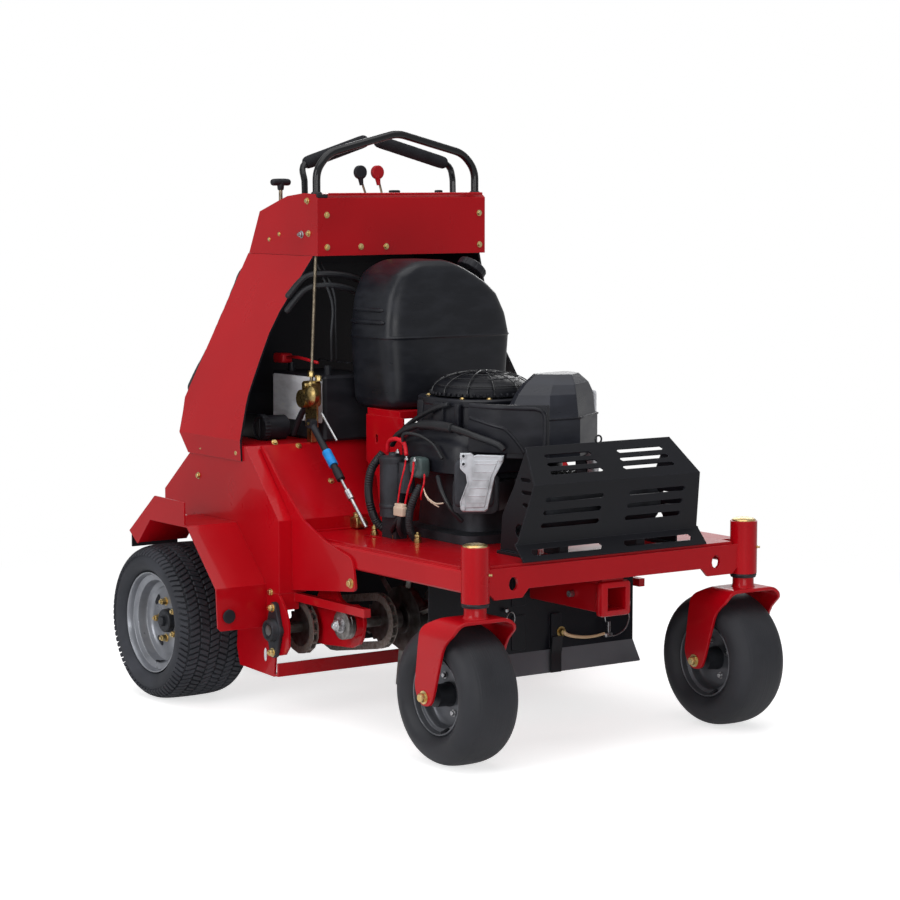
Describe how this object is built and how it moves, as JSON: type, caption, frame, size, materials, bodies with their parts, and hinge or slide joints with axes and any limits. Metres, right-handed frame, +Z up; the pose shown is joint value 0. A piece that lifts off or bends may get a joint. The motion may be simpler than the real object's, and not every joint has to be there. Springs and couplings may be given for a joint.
{
  "type": "stand-on aerator",
  "caption": "Ride-behind turf aerator with a chain-driven coring drum, swivel casters, drive wheels, engine, tank, control tower and fold-up operator platform.",
  "frame": {"origin": "on the ground at the middle of the machine's bounding box", "axes": "+X to the machine's left, +Y to its rear, +Z up; the machine faces -Y"},
  "size_m": [1.186, 1.71, 1.3965],
  "materials": {
    "red_paint": "gloss powder coat",
    "black_paint": "satin powder coat",
    "black_plastic": "moulded, satin",
    "red_plastic": "moulded, gloss",
    "grip_rubber": "foam sleeve",
    "pad_cover": "vinyl-covered foam",
    "tyre": "matt",
    "rim_silver": "silver paint",
    "bare_steel": "worn",
    "chain_steel": "oiled",
    "cast_iron": "painted dark",
    "aluminium": "cast",
    "gold_zinc": "yellow zinc plate"
  },
  "bodies": {
    "chassis": {"main_frame": "red_paint", "receiver_hitch": "red_paint", "body_shell": "red_paint", "tower": "red_paint", "console": "red_paint", "gusset_left": "red_paint", "gusset_right": "red_paint", "tine_housing": "red_paint", "bearing_left": "cast_iron", "bearing_right": "cast_iron", "fender_left": "red_paint", "fender_right": "red_paint", "tine_motor": "cast_iron", "engine_block": "cast_iron", "blower_housing": "black_plastic", "fan_screen": "black_paint", "air_cleaner": "black_plastic", "cylinder_left": "aluminium", "cylinder_right": "aluminium", "muffler": "cast_iron", "muffler_guard": "black_paint", "starter_motor": "cast_iron", "fuel_tank": "black_plastic", "battery": "black_plastic", "hydraulic_filter": "black_plastic", "tank_bracket": "red_paint", "hydraulic_valve": "gold_zinc", "link_barrel": "black_plastic", "front_shield": "black_paint", "thigh_pad": "pad_cover", "wheel_motor_left": "cast_iron", "wheel_motor_right": "cast_iron", "chain_primary": "chain_steel"},
    "caster_left": {"caster_fork_left": "red_paint"},
    "caster_wheel_left": {"caster_tyre_left": "tyre", "caster_rim_left": "rim_silver"},
    "drive_wheel_left": {"drive_tyre_left": "tyre", "drive_rim_left": "rim_silver"},
    "hand_lever_left": {"drive_lever_left": "black_paint", "grip_left": "grip_rubber"},
    "caster_right": {"caster_fork_right": "red_paint"},
    "caster_wheel_right": {"caster_tyre_right": "tyre", "caster_rim_right": "rim_silver"},
    "drive_wheel_right": {"drive_tyre_right": "tyre", "drive_rim_right": "rim_silver"},
    "hand_lever_right": {"drive_lever_right": "black_paint", "grip_right": "grip_rubber"},
    "coring_lift": {"lift_frame": "red_paint", "chain_tine": "chain_steel"},
    "coring_drum": {"tine_drum": "bare_steel"},
    "intermediate_shaft": {"countershaft": "bare_steel"},
    "motor_shaft": {"motor_sprocket": "bare_steel"},
    "lift_link": {"link_rod": "bare_steel"},
    "throttle": {"throttle_lever": "black_plastic"},
    "choke": {"choke_lever": "red_plastic"},
    "pull": {"pull_handle": "gold_zinc"},
    "cap": {"fuel_cap": "black_plastic"},
    "crank": {"engine_fan": "black_plastic"},
    "step": {"platform": "black_paint"},
    "pin": {"hitch_pin": "bare_steel"}
  },
  "joints": [
    {"name": "caster_swivel_left", "type": "hinge", "parent": "chassis", "child": "caster_left", "pos_m": [0.384, -0.766, 0.43], "axis": [0, 0, 1], "continuous": true},
    {"name": "caster_spin_left", "type": "hinge", "parent": "caster_left", "child": "caster_wheel_left", "pos_m": [0.384, -0.697, 0.158], "axis": [1, 0, 0], "continuous": true},
    {"name": "drive_spin_left", "type": "hinge", "parent": "chassis", "child": "drive_wheel_left", "pos_m": [0.493, 0.332, 0.1915], "axis": [1, 0, 0], "continuous": true},
    {"name": "hand_lever_hinge_left", "type": "hinge", "parent": "chassis", "child": "hand_lever_left", "pos_m": [0.222, 0.176, 1.17], "axis": [1, 0, 0], "range_deg": [-20, 20], "stiffness_Nm_per_rad": 8},
    {"name": "caster_swivel_right", "type": "hinge", "parent": "chassis", "child": "caster_right", "pos_m": [-0.384, -0.766, 0.43], "axis": [0, 0, 1], "continuous": true},
    {"name": "caster_spin_right", "type": "hinge", "parent": "caster_right", "child": "caster_wheel_right", "pos_m": [-0.384, -0.697, 0.158], "axis": [1, 0, 0], "continuous": true},
    {"name": "drive_spin_right", "type": "hinge", "parent": "chassis", "child": "drive_wheel_right", "pos_m": [-0.493, 0.332, 0.1915], "axis": [1, 0, 0], "continuous": true},
    {"name": "hand_lever_hinge_right", "type": "hinge", "parent": "chassis", "child": "hand_lever_right", "pos_m": [-0.222, 0.176, 1.17], "axis": [1, 0, 0], "range_deg": [-20, 20], "stiffness_Nm_per_rad": 8},
    {"name": "lift_hinge", "type": "hinge", "parent": "chassis", "child": "coring_lift", "pos_m": [0, -0.059, 0.216], "axis": [1, 0, 0], "range_deg": [0, 42]},
    {"name": "drum_spin", "type": "hinge", "parent": "coring_lift", "child": "coring_drum", "pos_m": [0, -0.261, 0.25], "axis": [1, 0, 0], "continuous": true},
    {"name": "countershaft_spin", "type": "hinge", "parent": "chassis", "child": "intermediate_shaft", "pos_m": [0, -0.059, 0.216], "axis": [1, 0, 0], "continuous": true},
    {"name": "motor_spin", "type": "hinge", "parent": "chassis", "child": "motor_shaft", "pos_m": [-0.385, 0.194, 0.33], "axis": [1, 0, 0], "continuous": true},
    {"name": "link_slide", "type": "slide", "parent": "chassis", "child": "lift_link", "axis": [0, -0.7236, -0.6902], "range_m": [0, 0.0805]},
    {"name": "throttle_hinge", "type": "hinge", "parent": "chassis", "child": "throttle", "pos_m": [-0.045, 0.176, 1.17], "axis": [1, 0, 0], "range_deg": [-20, 20]},
    {"name": "choke_hinge", "type": "hinge", "parent": "chassis", "child": "choke", "pos_m": [0.004, 0.176, 1.17], "axis": [1, 0, 0], "range_deg": [-20, 20]},
    {"name": "pull_slide", "type": "slide", "parent": "chassis", "child": "pull", "axis": [0, 0, 1], "range_m": [0, 0.03]},
    {"name": "cap_turn", "type": "hinge", "parent": "chassis", "child": "cap", "pos_m": [0.138, -0.014, 1.05], "axis": [0.6157, 0, 0.788], "continuous": true},
    {"name": "crank_spin", "type": "hinge", "parent": "chassis", "child": "crank", "pos_m": [-0.055, -0.336, 0.74], "axis": [0, 0, 1], "continuous": true},
    {"name": "platform_hinge", "type": "hinge", "parent": "chassis", "child": "step", "pos_m": [0, 0.496, 0.17], "axis": [1, 0, 0], "range_deg": [0, 90]},
    {"name": "hitch_pin_slide", "type": "slide", "parent": "chassis", "child": "pin", "axis": [1, 0, 0], "range_m": [0, 0.08]}
  ],
  "couplings": [
    {"joint": "countershaft_spin", "follows": "drum_spin", "ratio": 1},
    {"joint": "motor_spin", "follows": "drum_spin", "ratio": 1.5556},
    {"joint": "link_slide", "follows": "lift_hinge", "m_per_rad": 0.1091}
  ]
}
